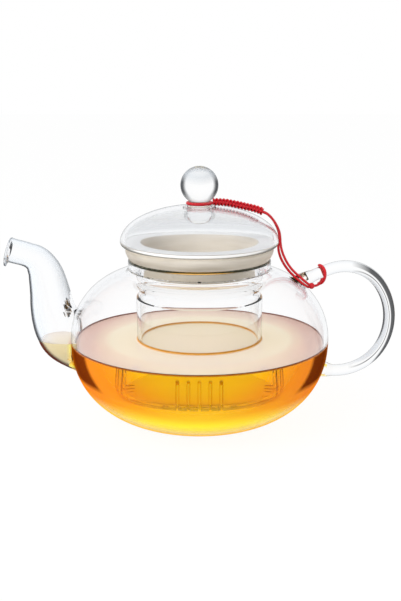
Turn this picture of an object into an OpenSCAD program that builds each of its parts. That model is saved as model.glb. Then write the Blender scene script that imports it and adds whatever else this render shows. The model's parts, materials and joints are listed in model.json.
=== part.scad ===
// Glass teapot with a lift-out glass infuser, a glass lid and a red cord tether.
// Millimetres, +Z up. The origin is the middle of the base, on the pot's axis.
// The spout points to -X and the handle to +X.

/* [Pot] */
// Largest radius of the belly, outside
body_r = 67; // [62:0.5:72]
// Height of the widest level above the table
belly_z = 44; // [40:0.5:50]
// Radius of the flat ring that the pot stands on
base_r = 18; // [12:0.5:24]
// How square the lower belly is: 2 is an ellipse
belly_power = 2.2; // [2:0.1:2.6]
// Radius of the rounded shoulder
shoulder_r = 35; // [32:0.5:38]
// Wall of the blown body
wall = 2.2; // [1.8:0.1:2.8]
// Outer radius of the neck
neck_r = 36.7; // [36.5:0.1:38]
// Height of the neck above the top of the shoulder's arc
neck_h = 6.5; // [5:0.5:10]
// Concave fillet between neck and shoulder
neck_fillet = 3; // [2:0.5:4]
// Depth of the hollow pushed up under the base
push_up = 1.2; // [0.6:0.1:2]

/* [Spout] */
// Wall of the spout
spout_wall = 1.8; // [1.4:0.1:2.2]
// Outer radius of the spout where it leaves the body
spout_root_r = 14.4; // [13:0.2:15.2]
// Outer radius of the spout behind its lip
spout_mouth_r = 6.3; // [5.5:0.1:7]
// How far the lip is turned out
lip_flare = 1.4; // [0.6:0.1:2]
// Radius of the hole through the body behind the spout
spout_hole_r = 10.5; // [7:0.5:11]

/* [Handle] */
// Radius of the solid glass rod
rod_r = 3; // [2.6:0.1:3.6]
// Radius of the welded foot at each end of the rod
foot_r = 4.2; // [3.8:0.1:5]
// Length over which a foot tapers to the rod
foot_len = 7; // [5:0.5:9]

/* [Infuser] */
// How much narrower the tube is than its fit in the neck
tube_step = 1.6; // [1:0.1:2.4]
// Wall of the tube
tube_wall = 1.8; // [1.4:0.1:2.2]
// Length of the infuser, from its rim to its closed bottom
infuser_len = 71.7; // [64:0.5:76]
// Radius of the rounded bottom corner
corner_r = 4; // [3:0.5:6]
// Height of the frosted collar above the pot's rim
collar_h = 6.4; // [5:0.2:8]
// How far the collar bulges past the neck
collar_bulge = 1.3; // [0.5:0.1:2]
// Depth of the rolled groove
groove_depth = 1.6; // [0.8:0.1:1.8]
// Distance of the rolled groove below the infuser's rim
groove_drop = 23.2; // [20:0.5:28]
// Slits in each of the four groups
slits = 5; // [3:1:5]
// Width of a sawn slit
slit_w = 1; // [0.8:0.1:1.4]
// Spacing of the slits
slit_pitch = 4.6; // [4:0.1:5]
// Height of a slit up the wall
slit_rise = 12.5; // [10:0.5:16]
// Reach of a slit across the bottom
slit_reach = 8; // [6:0.5:10]

/* [Lid] */
// How far the lid's rim stands out past the collar
lid_overhang = 2.5; // [1:0.1:4]
// Height of the dome above its widest level
dome_h = 18.2; // [15:0.2:24]
// Wall of the lid
lid_wall = 2; // [1.6:0.1:2.4]
// Length of the frosted plug under the flange
plug_len = 15; // [10:0.2:16]
// How much narrower the plug's end is than its fit in the tube
plug_taper = 1.6; // [0.6:0.1:2.4]

/* [Knob] */
// Radius of the ball
ball_r = 9.6; // [8:0.2:11]
// Radius of the stem under the ball
stem_r = 5.2; // [4.5:0.1:5.5]
// Radius of the boss fused through the crown
boss_r = 6.7; // [6:0.1:8]
// Depth of the boss below the crown
boss_drop = 9; // [5:0.5:12]
// Height of the ball above the crown
ball_lift = 0.7; // [0.6:0.1:3]

/* [Cord] */
// Diameter of one strand
cord_d = 1.3; // [1:0.1:1.4]
// Diameter of the loop round the knob's stem
loop_cord_d = 1.6; // [1.2:0.1:1.7]
// Thickness of the knotted braid
braid_d = 3.2; // [2.6:0.1:3.4]

/* [Fit] */
// Gap where one piece rests on another
seat_gap = 0.3; // [0.2:0.05:0.4]
// Gap round the lid's plug in the infuser
plug_gap = 0.4; // [0.3:0.05:0.6]

/* [Hidden] */

$fn = 96;
curve_steps = 14;      // straight bands in a quarter of a profile
bend_steps = 5;        // straight bands in a small rounding
bend_step = 6;         // turn between two rings of the handle
spout_sides = 20;
rod_sides = 24;
cord_sides = 8;

// Pot: the shoulder's arc, and the fillet that joins it to the neck
shoulder_x = body_r - shoulder_r;
rim_z = belly_z + shoulder_r + neck_h;
fillet_x = neck_r + neck_fillet;
fillet_z = belly_z + sqrt(pow(shoulder_r + neck_fillet, 2) - pow(fillet_x - shoulder_x, 2));
fillet_turn = atan2(fillet_z - belly_z, fillet_x - shoulder_x);
neck_bore_r = neck_r - wall;
// Level at which the neck's bore meets the inside of the shoulder, and its place on the arc
neck_foot_z = belly_z + sqrt(pow(shoulder_r - wall, 2) - pow(neck_bore_r - shoulder_x, 2));
neck_foot_turn = asin((neck_foot_z - belly_z) / shoulder_r);
foot_ring_w = 2;       // width of the ring that touches the table
push_up_slope_w = 4;   // width of the slope from that ring to the hollow

// Heights that stack up on the pot's rim
collar_z = rim_z + seat_gap;
infuser_top = collar_z + collar_h;
infuser_z = infuser_top - infuser_len;
flange_z = infuser_top + seat_gap;
flange_top = flange_z + lid_wall;
crown_z = flange_top + dome_h;
ball_z = crown_z + ball_lift + ball_r;

// Radii of the nested pieces
neck_gap = 0.5;        // gap round the infuser in the pot's neck
cone_top_r = neck_bore_r - neck_gap;
cone_h = 8;            // height below the rim over which the tube widens
cone_z = rim_z - cone_h;
cone_end_z = rim_z - 1;
tube_r = cone_top_r - tube_step;
tube_bore_r = tube_r - tube_wall;
mouth_bore_r = cone_top_r - tube_wall;
collar_r = neck_r + collar_bulge;
collar_flank = 1.9;    // how much narrower the collar is where it rests on the rim
collar_lip_r = 1.8;    // rounding of the collar's upper edge
collar_wall = 3.8;     // thickness of the collar at its mouth
mouth_r = collar_r - collar_wall;
lid_r = collar_r + lid_overhang;
groove_half = 3.5;
groove_z = infuser_top - groove_drop;
plug_r = mouth_bore_r - plug_gap;
plug_end_r = tube_bore_r - plug_gap - plug_taper;
plug_z = flange_z - plug_len;
flange_bore_r = plug_r - lid_wall;
flange_corner = 1;     // rounding of the flange's bore and of the plug's root

// Spout's centre line: distance outside the belly, height above its widest level
spout_route = [[-9, -6], [1.8, -1], [5.9, 4.4], [8.2, 10.2], [9.6, 16.2], [10.5, 23.7],
               [11.9, 31.5], [13.8, 36.8], [17, 41], [21.8, 43.4], [27, 44.8], [31.2, 45.9]];
taper_share = 0.8;     // share of the spout's length over which it narrows
taper_power = 1.2;
lip_share = 0.05;      // share of its length that is turned out as the lip
lip_droop = 0.8;       // how far the lip hangs below the bore, per millimetre of flare

// Handle's centre line: where it leaves the shoulder, then tangent arcs as [radius, turn]
handle_root_angle = 54.1; // place of the upper root on the shoulder's arc
handle_root_lift = 1.3;   // height of that place above the arc
handle_start = [shoulder_x, belly_z] + (shoulder_r + handle_root_lift)
    * [cos(handle_root_angle), sin(handle_root_angle)];
handle_climb = 29.6;   // angle above the table at which it leaves
handle_arcs = [[82, 11.6], [22, 73.5], [31.7, 53.9], [27.1, 86.4]];
root_len = 9;          // length of rod drawn into the pot, where the pot's form trims it

// Cord routes as [x, y, z], chosen by hand. The braid lies over the dome, the two strands
// run over the lid's rim and down to the handle, and each is divided at the rim.
neck_loop_z = 113.9;
braid_route = [[6.7, 0, 114.4], [9.6, 0, 114.4], [13, 0, 114.2], [16.5, 0, 113.6], [20, 0, 112.9],
               [23.5, 0, 112.1], [27, 0, 111.3], [30, 0, 110.4], [32.2, 0, 109.4]];
front_upper_route = [[31.9, -0.7, 109.5], [34.2, -0.5, 108.5], [36.1, -0.1, 106.9],
                     [38, 0.5, 104.6], [39.6, 1.2, 101.9], [40.9, 1.9, 98.9], [41.5, 2.5, 95.9],
                     [41.7, 2.8, 93.4]];
back_upper_route = [[31.9, 0.8, 109.5], [34.2, 1, 108.5], [36.1, 1.4, 106.9], [37.9, 2.1, 104.6],
                    [39.4, 3, 101.9], [40.6, 3.8, 98.9], [41.2, 4.3, 95.9], [41.1, 4.5, 93.4]];
front_lower_route = [[41.7, 2.8, 93.2], [42.1, 2.7, 90.6], [42.9, 2.2, 87.7], [44.1, 1.4, 84.9],
                     [45.7, 0.4, 82.1], [47.5, -0.7, 79.8], [49.6, -2.1, 77.8],
                     [51.5, -3.8, 76.4], [53.3, -5.2, 74.9], [55.3, -5.6, 73.3],
                     [56.4, -5.3, 72.6]];
back_lower_route = [[41.1, 4.5, 93.2], [40.8, 4.4, 90.6], [41.2, 3.9, 87.6], [42.3, 3, 84.4],
                    [44, 1.8, 81.4], [46.1, 0.2, 78.7], [48.1, -1.9, 76.9], [49.9, -3.8, 75.4],
                    [52.3, -5.1, 73.6], [54.7, -5.2, 71.9], [56.1, -4.7, 71.3]];
knot_r = 1.6;
knot_tail_route = [[57.5, -4.5, 71.8], [60.1, -3.3, 71.7], [62.4, -1.2, 72.4]];
// Loop round the handle: its middle, and its half axes upwards and to the front
handle_loop_at = [61.7, 0, 76.8];
handle_loop_up = [0, 0, 4.8];
handle_loop_front = [2.6, -4.5, 0.8];
handle_loop_rings = 16;

// ---- Profiles and lofts ----------------------------------------------------

function steps(n, first = 0) = [for (i = [first:n]) i / n];

function reverse(list) = [for (i = [len(list) - 1:-1:0]) list[i]];

// Points of an arc round [x, y], leaving out the first one where another curve ends there
function arc(x, y, r, from, to, n = bend_steps, first = 0) =
    [for (s = steps(n, first)) let (a = from + (to - from) * s) [x + r * cos(a), y + r * sin(a)]];

// Shares of a superellipse's half axes at angle a
function quarter(a, power) = [pow(cos(a), 2 / power), pow(sin(a), 2 / power)];

// Point on a smooth curve through points, at share s of its spans
function along(points, s) =
    let (last = len(points) - 1,
         i = min(floor(s * last), last - 1),
         t = s * last - i,
         a = points[max(i - 1, 0)], b = points[i], c = points[i + 1],
         d = points[min(i + 2, last)])
    b + (c - a) * t / 2 + (2 * a - 5 * b + 4 * c - d) * t * t / 2
      + (3 * b - a - 3 * c + d) * t * t * t / 2;

function unit(v) = v / norm(v);

// Skin over rings of equal count that turn counter-clockwise about the way they follow,
// closed on itself or capped at both ends
module loft(rings, closed = false) {
    n = len(rings[0]);
    m = len(rings);
    walls = [for (k = [0:m - (closed ? 1 : 2)], j = [0:n - 1])
        let (a = k * n, b = (k + 1) % m * n, next = (j + 1) % n) [a + j, b + j, b + next, a + next]];
    caps = closed ? [] : [[for (j = [0:n - 1]) j], [for (j = [n - 1:-1:0]) (m - 1) * n + j]];
    polyhedron([for (ring = rings) each ring], concat(walls, caps));
}

// ---- Pot -------------------------------------------------------------------

// Belly from the base ring up to its widest level, t inside the outer surface
function lower_belly(t) =
    [for (s = steps(curve_steps))
        let (share = quarter(90 * (1 - s), belly_power))
        [base_r + (body_r - t - base_r) * share[0], belly_z - (belly_z - t) * share[1]]];

// Outer side of the shoulder, from the belly up to the foot of the neck
function outer_shoulder() =
    arc(shoulder_x, belly_z, shoulder_r, 0, neck_foot_turn, curve_steps, 1);

function inner_shoulder() =
    let (r = shoulder_r - wall, turn = acos((neck_bore_r - shoulder_x) / r))
    arc(shoulder_x, belly_z, r, 0, turn, curve_steps, 1);

// Outer side of the neck, from its foot to the top of the fillet
function neck_side(first = 0) =
    concat(arc(shoulder_x, belly_z, shoulder_r, neck_foot_turn, fillet_turn, 3, first),
           arc(fillet_x, fillet_z, neck_fillet, 180 + fillet_turn, 180, bend_steps, 1));

// The pot's outer form as one solid, which the spout and the handle are trimmed to
module pot_form() {
    rotate_extrude()
        polygon(concat([[0, 0]], lower_belly(0), outer_shoulder(), neck_side(1),
                       [[neck_r, rim_z], [0, rim_z]]));
}

module bowl() {
    hollow_r = base_r - foot_ring_w - push_up_slope_w;
    color("aliceblue")
    difference() {
        rotate_extrude()
            polygon(concat(
                [[0, push_up], [hollow_r, push_up], [base_r - foot_ring_w, 0]],
                lower_belly(0), outer_shoulder(),
                reverse(inner_shoulder()), reverse(lower_belly(wall)),
                [[base_r - foot_ring_w, wall], [hollow_r, push_up + wall], [0, push_up + wall]]));
        translate([-body_r, 0, belly_z + spout_route[1][1]])
            rotate([0, 90, 0])
                cylinder(r = spout_hole_r, h = 6 * wall, center = true);
    }
}

// Neck, from the level where its bore begins up to its fire-polished rim
module neck() {
    color("aliceblue")
    rotate_extrude()
        polygon(concat(
            neck_side(),
            arc(neck_r - wall / 2, rim_z - wall / 2, wall / 2, 0, 180, 6),
            [[neck_bore_r, neck_foot_z]]));
}

function spout_r(s) =
    spout_mouth_r + (spout_root_r - spout_mouth_r)
        * (1 - pow(min(s / taper_share, 1), taper_power));

function lip_turn(s) = pow(max((s - 1 + lip_share) / lip_share, 0), 2);

// Ring of the spout at share s of its length, t inside its outer surface
function spout_ring(s, t) =
    let (ds = 0.01,
         way = unit(along(spout_route, min(s + ds, 1)) - along(spout_route, max(s - ds, 0))),
         side = [-way[1], way[0]],
         flare = lip_flare * lip_turn(s),
         r = spout_r(s) + flare - t,
         middle = along(spout_route, s) - side * lip_droop * flare)
    [for (j = [0:spout_sides - 1])
        let (a = 360 * j / spout_sides, p = middle + side * r * cos(a))
        [-body_r - p[0], r * sin(a), belly_z + p[1]]];

module spout() {
    shares = [for (s = steps(26)) if (s < 1 - lip_share) s];
    lip_shares = [for (k = [0:3]) 1 - lip_share * (1 - k / 3)];
    route = concat(shares, lip_shares);
    color("azure")
    difference() {
        loft(concat([for (s = route) spout_ring(s, 0)],
                    [for (s = reverse(route)) spout_ring(s, spout_wall)]), closed = true);
        pot_form();
    }
}

// Stations [middle, heading, distance] along arcs that turn clockwise, each [radius, turn]
function bend(arcs, from, heading, run = 0, first = 0) =
    first == len(arcs) ? [] :
    let (r = arcs[first][0], turn = arcs[first][1], n = ceil(turn / bend_step),
         pivot = from + r * [sin(heading), -cos(heading)],
         out = [for (i = [0:n]) let (a = heading - turn * i / n)
             [pivot + r * [-sin(a), cos(a)], a, run + r * (turn * PI / 180) * i / n]])
    concat([for (i = [0:n - 1]) out[i]],
           first == len(arcs) - 1 ? [out[n]] : [],
           bend(arcs, out[n][0], out[n][1], out[n][2], first + 1));

// Straight run of rod before or after a station, inside the pot
function root(station, run) =
    [station[0] + run * [cos(station[1]), sin(station[1])], station[1], station[2] + run];

module handle() {
    arcs = bend(handle_arcs, handle_start, handle_climb);
    end = arcs[len(arcs) - 1];
    stations = concat([root(arcs[0], -root_len)], arcs, [root(end, root_len)]);
    color("azure")
    difference() {
        loft([for (s = stations)
            let (foot = max(1 - min(s[2], end[2] - s[2]) / foot_len, 0),
                 r = rod_r + (foot_r - rod_r) * min(foot, 1))
            [for (j = [0:rod_sides - 1])
                let (a = 360 * j / rod_sides, p = s[0] + r * cos(a) * [-sin(s[1]), cos(s[1])])
                [p[0], -r * sin(a), p[1]]]]);
        pot_form();
    }
}

// ---- Infuser ---------------------------------------------------------------

// Rolled groove in a wall of radius r, as a smooth dip
function groove(r) =
    [for (i = [-4:4]) [r - groove_depth * (1 + cos(45 * i)) / 2, groove_z + groove_half * i / 4]];

// Outer side of the collar: a flank that leans out from the rim, and its rounded upper edge
function collar_side() =
    concat([for (s = steps(8)) [collar_r - collar_flank * (1 - sin(90 * s)),
                                collar_z + (collar_h - collar_lip_r) * s]],
           arc(collar_r - collar_lip_r, infuser_top - collar_lip_r, collar_lip_r, 0, 90,
               bend_steps, 1));

// Closed tube that widens to a cone inside the pot's neck, before its slits are sawn
module tube() {
    bottom = infuser_z + tube_wall;
    rotate_extrude()
        polygon(concat(
            [[0, infuser_z]],
            arc(tube_r - corner_r, infuser_z + corner_r, corner_r, -90, 0),
            groove(tube_r),
            [[tube_r, cone_z], [cone_top_r, cone_end_z], [cone_top_r, collar_z],
             [mouth_bore_r, collar_z], [mouth_bore_r, cone_end_z], [tube_bore_r, cone_z]],
            reverse(groove(tube_bore_r)),
            arc(tube_r - corner_r, infuser_z + corner_r, corner_r - tube_wall, 0, -90),
            [[0, bottom]]));
}

// Round saw blade that cuts one slit across the bottom corner on the +X side
module blade() {
    blade_r = 14;
    rise = [tube_r, infuser_z + slit_rise];
    reach = [tube_r - slit_reach, infuser_z];
    half = norm(rise - reach) / 2;
    out = unit([rise[1] - reach[1], reach[0] - rise[0]]);
    middle = (rise + reach) / 2 + out * sqrt(blade_r * blade_r - half * half);
    translate([middle[0], 0, middle[1]])
        rotate([90, 0, 0])
            cylinder(r = blade_r, h = slit_w, center = true);
}

module infuser() {
    color("lightcyan")
    difference() {
        tube();
        for (group = [0:3], k = [0:slits - 1])
            rotate([0, 0, 90 * group])
                translate([0, slit_pitch * (k - (slits - 1) / 2), 0])
                    blade();
    }
}

// Frosted collar at the top of the tube, which hangs the infuser on the pot's rim
module collar() {
    color("gainsboro")
    rotate_extrude()
        polygon(concat(
            [[cone_top_r, collar_z]],
            collar_side(),
            [[mouth_r, infuser_top], [mouth_r, collar_z + collar_h / 2],
             [mouth_bore_r, collar_z]]));
}

// ---- Lid -------------------------------------------------------------------

// Dome from its widest level up to the boss, t inside the outer surface
function dome(t) =
    let (turn = acos(boss_r / (lid_r - t)))
    [for (s = steps(curve_steps))
        [(lid_r - t) * cos(turn * s), flange_top + (dome_h - t) * sin(turn * s)]];

// Blown dome, turned in at its rim to a flat flange
module lid() {
    color("lightcyan")
    rotate_extrude()
        polygon(concat(
            reverse(dome(0)),
            arc(lid_r - lid_wall, flange_top, lid_wall, 0, -90, bend_steps, 1),
            [[flange_bore_r, flange_z], [flange_bore_r, flange_top - flange_corner],
             [flange_bore_r + flange_corner, flange_top]],
            dome(lid_wall)));
}

// Frosted ring fused under the flange, which keeps the lid central in the infuser
module plug() {
    color("gainsboro")
    rotate_extrude()
        polygon(concat(
            [[flange_bore_r, flange_z], [plug_r + flange_corner, flange_z],
             [plug_r, flange_z - flange_corner]],
            arc(plug_end_r - lid_wall / 2, plug_z + lid_wall / 2, lid_wall / 2, 0, -180, 6)));
}

module knob() {
    root_top = flange_top + dome_h * sin(acos(boss_r / lid_r));
    boss_z = crown_z - boss_drop;
    ball_bottom = ball_z - sqrt(ball_r * ball_r - stem_r * stem_r);
    stem_top = ball_bottom + 0.5;       // the stem runs on into the ball
    tip_r = 2.5;                        // rounding of the boss's lower end
    neck_in = 0.7;                      // height over which the boss narrows to the stem
    color("white") {
        rotate_extrude()
            polygon(concat(
                [[0, boss_z]],
                arc(boss_r - tip_r, boss_z + tip_r, tip_r, -90, 0),
                [[boss_r, root_top], [stem_r, root_top + neck_in], [stem_r, stem_top],
                 [0, stem_top]]));
        translate([0, 0, ball_z])
            sphere(r = ball_r);
    }
}

// ---- Cord ------------------------------------------------------------------

// Ring of a cord at point p, for a cord that runs along way
function cord_ring(p, way, across, r) =
    let (side = unit(cross(way, across)), up = cross(unit(way), side))
    [for (j = [0:cord_sides - 1])
        let (a = 360 * j / cord_sides) p + r * (side * cos(a) + up * sin(a))];

module cord(route, d) {
    last = len(route) - 1;
    color("crimson")
        loft([for (i = [0:last])
            cord_ring(route[i], route[min(i + 1, last)] - route[max(i - 1, 0)], [0, 1, 0], d / 2)]);
}

module cord_neck_loop() {
    slack = 0.05;
    color("crimson")
        translate([0, 0, neck_loop_z])
            rotate_extrude()
                translate([stem_r + loop_cord_d / 2 + slack, 0])
                    circle(d = loop_cord_d, $fn = 24);
}

module cord_braid() {
    cord(braid_route, braid_d);
}

module cord_front_upper() {
    cord(front_upper_route, cord_d);
}

module cord_back_upper() {
    cord(back_upper_route, cord_d);
}

module cord_front_lower() {
    cord(front_lower_route, cord_d);
}

module cord_back_lower() {
    cord(back_lower_route, cord_d);
}

module cord_knot() {
    color("crimson")
        translate(knot_tail_route[0])
            sphere(r = knot_r, $fn = 32);
    cord(knot_tail_route, cord_d);
}

module cord_handle_loop() {
    across = cross(handle_loop_up, handle_loop_front);
    color("crimson")
        loft([for (i = [0:handle_loop_rings - 1])
            let (a = 360 * i / handle_loop_rings)
            cord_ring(handle_loop_at + handle_loop_up * cos(a) + handle_loop_front * sin(a),
                      handle_loop_front * cos(a) - handle_loop_up * sin(a), across, cord_d / 2)],
            closed = true);
}

bowl();
neck();
spout();
handle();
infuser();
collar();
lid();
plug();
knob();
cord_neck_loop();
cord_braid();
cord_front_upper();
cord_back_upper();
cord_front_lower();
cord_back_lower();
cord_knot();
cord_handle_loop();
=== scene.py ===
import json
import math

import bmesh
import bpy
from mathutils import Matrix, Vector

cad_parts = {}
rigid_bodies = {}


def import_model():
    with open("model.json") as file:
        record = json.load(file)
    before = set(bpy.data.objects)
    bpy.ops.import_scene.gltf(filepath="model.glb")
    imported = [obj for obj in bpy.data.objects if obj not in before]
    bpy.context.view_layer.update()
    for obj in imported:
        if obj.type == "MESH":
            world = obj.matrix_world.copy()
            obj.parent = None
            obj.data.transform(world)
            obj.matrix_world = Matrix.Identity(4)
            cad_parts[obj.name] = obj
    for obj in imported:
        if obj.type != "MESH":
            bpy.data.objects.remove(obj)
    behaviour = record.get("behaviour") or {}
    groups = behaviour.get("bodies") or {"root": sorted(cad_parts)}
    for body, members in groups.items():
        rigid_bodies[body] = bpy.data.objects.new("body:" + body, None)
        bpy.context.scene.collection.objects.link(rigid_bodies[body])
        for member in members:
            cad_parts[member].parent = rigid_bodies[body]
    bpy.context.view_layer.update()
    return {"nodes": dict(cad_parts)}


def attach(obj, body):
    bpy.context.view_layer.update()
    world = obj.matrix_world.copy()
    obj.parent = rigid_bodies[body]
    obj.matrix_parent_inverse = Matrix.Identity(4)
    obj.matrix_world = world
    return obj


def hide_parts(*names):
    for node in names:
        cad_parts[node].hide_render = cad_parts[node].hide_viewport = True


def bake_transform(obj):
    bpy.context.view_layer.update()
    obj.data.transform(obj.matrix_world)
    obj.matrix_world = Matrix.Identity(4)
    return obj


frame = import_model()
MM = 0.001

# ---- Camera -----------------------------------------------------------------

LENS, SENSOR = 57.83, 36.0
CAMERA_AT, CAMERA_PITCH = (0.00055, -0.487, 0.1839), 13.95   # degrees below level
camera_data = bpy.data.cameras.new("camera")
camera_data.sensor_width = SENSOR
camera_data.lens = LENS
camera_data.clip_start = 0.01
camera = bpy.data.objects.new("camera", camera_data)
bpy.context.scene.collection.objects.link(camera)
camera.location = CAMERA_AT
camera.rotation_euler = (math.radians(90 - CAMERA_PITCH), 0, 0)
bpy.context.scene.camera = camera

# ---- Sizes, in millimetres, as in the CAD source ----------------------------

BODY_R, BELLY_Z, BASE_R, BELLY_POWER = 67.0, 44.0, 18.0, 2.2
SHOULDER_R, WALL, NECK_R, NECK_H, NECK_FILLET = 35.0, 2.2, 36.7, 6.5, 3.0
PUSH_UP, FOOT_RING = 1.2, 2
SHOULDER_X = BODY_R - SHOULDER_R
RIM_Z = BELLY_Z + SHOULDER_R + NECK_H
NECK_BORE_R = NECK_R - WALL
SEAT_GAP, PLUG_GAP = 0.3, 0.4
TUBE_R, TUBE_WALL, CORNER_R, INFUSER_LEN = 32.4, 1.8, 4.0, 71.7
COLLAR_H, COLLAR_Z = 6.4, RIM_Z + SEAT_GAP
INFUSER_TOP = COLLAR_Z + COLLAR_H
INFUSER_Z = INFUSER_TOP - INFUSER_LEN
SLIT_RISE, SLIT_REACH, SLIT_W, SLIT_PITCH = 12.5, 8, 1.0, 4.6
LID_R, LID_WALL, DOME_H = 40.5, 2.0, 18.2
FLANGE_Z = INFUSER_TOP + SEAT_GAP
FLANGE_TOP = FLANGE_Z + LID_WALL
CROWN_Z = FLANGE_TOP + DOME_H
BALL_R, BALL_LIFT = 9.6, 0.7
BALL_Z = CROWN_Z + BALL_LIFT + BALL_R
TEA_Z = 43.0
HOLE_R = 10.5
SEGMENTS = 160   # sides of a surface of revolution

# ---- Mesh helpers -----------------------------------------------------------


def new_object(name, verts, faces):
    """Mesh object from points in millimetres."""
    mesh = bpy.data.meshes.new(name)
    mesh.from_pydata([[c * MM for c in v] for v in verts], [], faces)
    mesh.validate()
    bm = bmesh.new()
    bm.from_mesh(mesh)
    bmesh.ops.recalc_face_normals(bm, faces=bm.faces)
    bm.to_mesh(mesh)
    bm.free()
    obj = bpy.data.objects.new(name, mesh)
    bpy.context.scene.collection.objects.link(obj)
    return obj


def revolve(name, profile, segments=SEGMENTS):
    """Closed surface of revolution; the profile starts and ends on the axis, or is a ring."""
    verts, rows = [], []
    for r, z in profile:
        if r < 1e-6:
            rows.append([len(verts)] * segments)
            verts.append((0, 0, z))
        else:
            rows.append(list(range(len(verts), len(verts) + segments)))
            for k in range(segments):
                a = 2 * math.pi * (k + 0.5) / segments
                verts.append((r * math.cos(a), r * math.sin(a), z))
    on_axis = profile[0][0] < 1e-6
    pairs = list(zip(rows[:-1], rows[1:]))
    if not on_axis:
        pairs.append((rows[-1], rows[0]))
    faces = []
    for low, high in pairs:
        for k in range(segments):
            n = (k + 1) % segments
            face = []
            for i in (low[k], low[n], high[n], high[k]):
                if i not in face:
                    face.append(i)
            if len(face) > 2:
                faces.append(face)
    return new_object(name, verts, faces)


def lofts(name, bars, closed=False):
    """One mesh of bars, each a skin over rings of points, capped at both ends or closed round."""
    verts, faces = [], []
    for rings in bars:
        start, n, count = len(verts), len(rings[0]), len(rings)
        verts += [p for ring in rings for p in ring]
        for k in range(count if closed else count - 1):
            a, b = start + k * n, start + (k + 1) % count * n
            faces += [[a + j, a + (j + 1) % n, b + (j + 1) % n, b + j] for j in range(n)]
        if not closed:
            faces.append([start + j for j in range(n)][::-1])
            faces.append([len(verts) - n + j for j in range(n)])
    return new_object(name, verts, faces)


def loft(name, rings, closed=False):
    return lofts(name, [rings], closed)


def angles(n):
    return [2 * math.pi * j / n for j in range(n)]


def boolean(obj, other, operation):
    """Join, cut or subtract other, which is used up."""
    modifier = obj.modifiers.new("cut", "BOOLEAN")
    modifier.object = other
    modifier.operation = operation
    modifier.solver = "EXACT"
    bpy.context.view_layer.update()
    depsgraph = bpy.context.evaluated_depsgraph_get()
    mesh = bpy.data.meshes.new_from_object(obj.evaluated_get(depsgraph))
    obj.modifiers.clear()
    obj.data = mesh
    bpy.data.objects.remove(other)
    return obj


def smooth(obj, angle=40):
    """Smooth shading, with edges sharper than angle kept sharp."""
    for poly in obj.data.polygons:
        poly.use_smooth = True
    obj.data.set_sharp_from_angle(angle=math.radians(angle))


def arc(x, y, r, start, end, n, skip=0):
    """Points of an arc from start to end, in degrees, without the first skip points."""
    return [(x + r * math.cos(math.radians(start + (end - start) * i / n)),
             y + r * math.sin(math.radians(start + (end - start) * i / n)))
            for i in range(skip, n + 1)]


def along(points, s):
    """Point on a Catmull-Rom curve through points, at share s of its spans."""
    last = len(points) - 1
    i = min(int(s * last), last - 1)
    t = s * last - i
    a, b = Vector(points[max(i - 1, 0)]), Vector(points[i])
    c, d = Vector(points[i + 1]), Vector(points[min(i + 2, last)])
    return (b + (c - a) * t / 2 + (2 * a - 5 * b + 4 * c - d) * t * t / 2
            + (3 * b - a - 3 * c + d) * t ** 3 / 2)


def declare(obj, body, slot, *nodes):
    """The piece rides with a body and replaces these CAD nodes; the slot argument is not used."""
    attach(obj, body)
    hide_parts(*nodes)


# ---- Pot: bowl, spout and handle, fused -------------------------------------


def lower_belly(t, steps=44):
    """Profile of the belly below its widest level, t inside the outer surface."""
    points = []
    for i in range(steps + 1):
        a = math.radians(90 * (1 - i / steps))
        r = BASE_R + (BODY_R - t - BASE_R) * max(math.cos(a), 0) ** (2 / BELLY_POWER)
        z = BELLY_Z - (BELLY_Z - t) * math.sin(a) ** (2 / BELLY_POWER)
        points.append((r, z))
    return points


FILLET_X = NECK_R + NECK_FILLET
FILLET_Z = BELLY_Z + math.sqrt((SHOULDER_R + NECK_FILLET) ** 2 - (FILLET_X - SHOULDER_X) ** 2)
FILLET_TURN = math.degrees(math.atan2(FILLET_Z - BELLY_Z, FILLET_X - SHOULDER_X))


def outer_shoulder():
    return (arc(SHOULDER_X, BELLY_Z, SHOULDER_R, 0, FILLET_TURN, 44, 1)
            + arc(FILLET_X, FILLET_Z, NECK_FILLET, 180 + FILLET_TURN, 180, 12, 1))


def inner_shoulder():
    return (arc(SHOULDER_X, BELLY_Z, SHOULDER_R - WALL, 0, FILLET_TURN, 44, 1)
            + arc(FILLET_X, FILLET_Z, NECK_FILLET + WALL, 180 + FILLET_TURN, 180, 12, 1))


def base_curve(lift):
    """The hollow pushed up under the base, from the axis to the standing ring."""
    edge = BASE_R - FOOT_RING
    return [(edge * i / 12, lift + PUSH_UP * (1 + math.cos(math.pi * i / 12)) / 2)
            for i in range(13)]


def bowl_mesh():
    profile = (base_curve(0) + lower_belly(0) + outer_shoulder()
               + [(NECK_R, RIM_Z - 5), (NECK_R, RIM_Z - 3)]
               + arc(NECK_R - WALL / 2, RIM_Z - WALL / 2, WALL / 2, 0, 180, 12)
               + [(NECK_BORE_R, RIM_Z - 3)]
               + inner_shoulder()[::-1] + lower_belly(WALL)[::-1] + base_curve(WALL)[::-1])
    return revolve("pot_glass", profile)


def pot_core(t):
    """Solid of the bowl's form, t inside its outer surface and closed over at the neck."""
    profile = ([(0, t)] + lower_belly(t)
               + arc(SHOULDER_X, BELLY_Z, SHOULDER_R - t, 0, 80, 30, 1) + [(0, 78)])
    return revolve("core", profile)


SPOUT_ROUTE = [(-9, -6), (1.8, -1), (5.9, 4.4), (8.2, 10.2), (9.6, 16.2), (10.5, 23.7),
               (11.9, 31.5), (13.8, 36.8), (17, 41), (21.8, 43.4), (27, 44.8), (31.2, 45.9)]
SPOUT_ROOT_R, SPOUT_MOUTH_R, LIP_FLARE, SPOUT_WALL = 14.4, 6.3, 1.4, 1.8
TAPER_SHARE, TAPER_POWER, LIP_SHARE, LIP_DROOP = 0.8, 1.2, 0.05, 0.8
LIP_ROUND = 0.021   # share of the spout's length taken by the rounding of its lip


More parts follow.
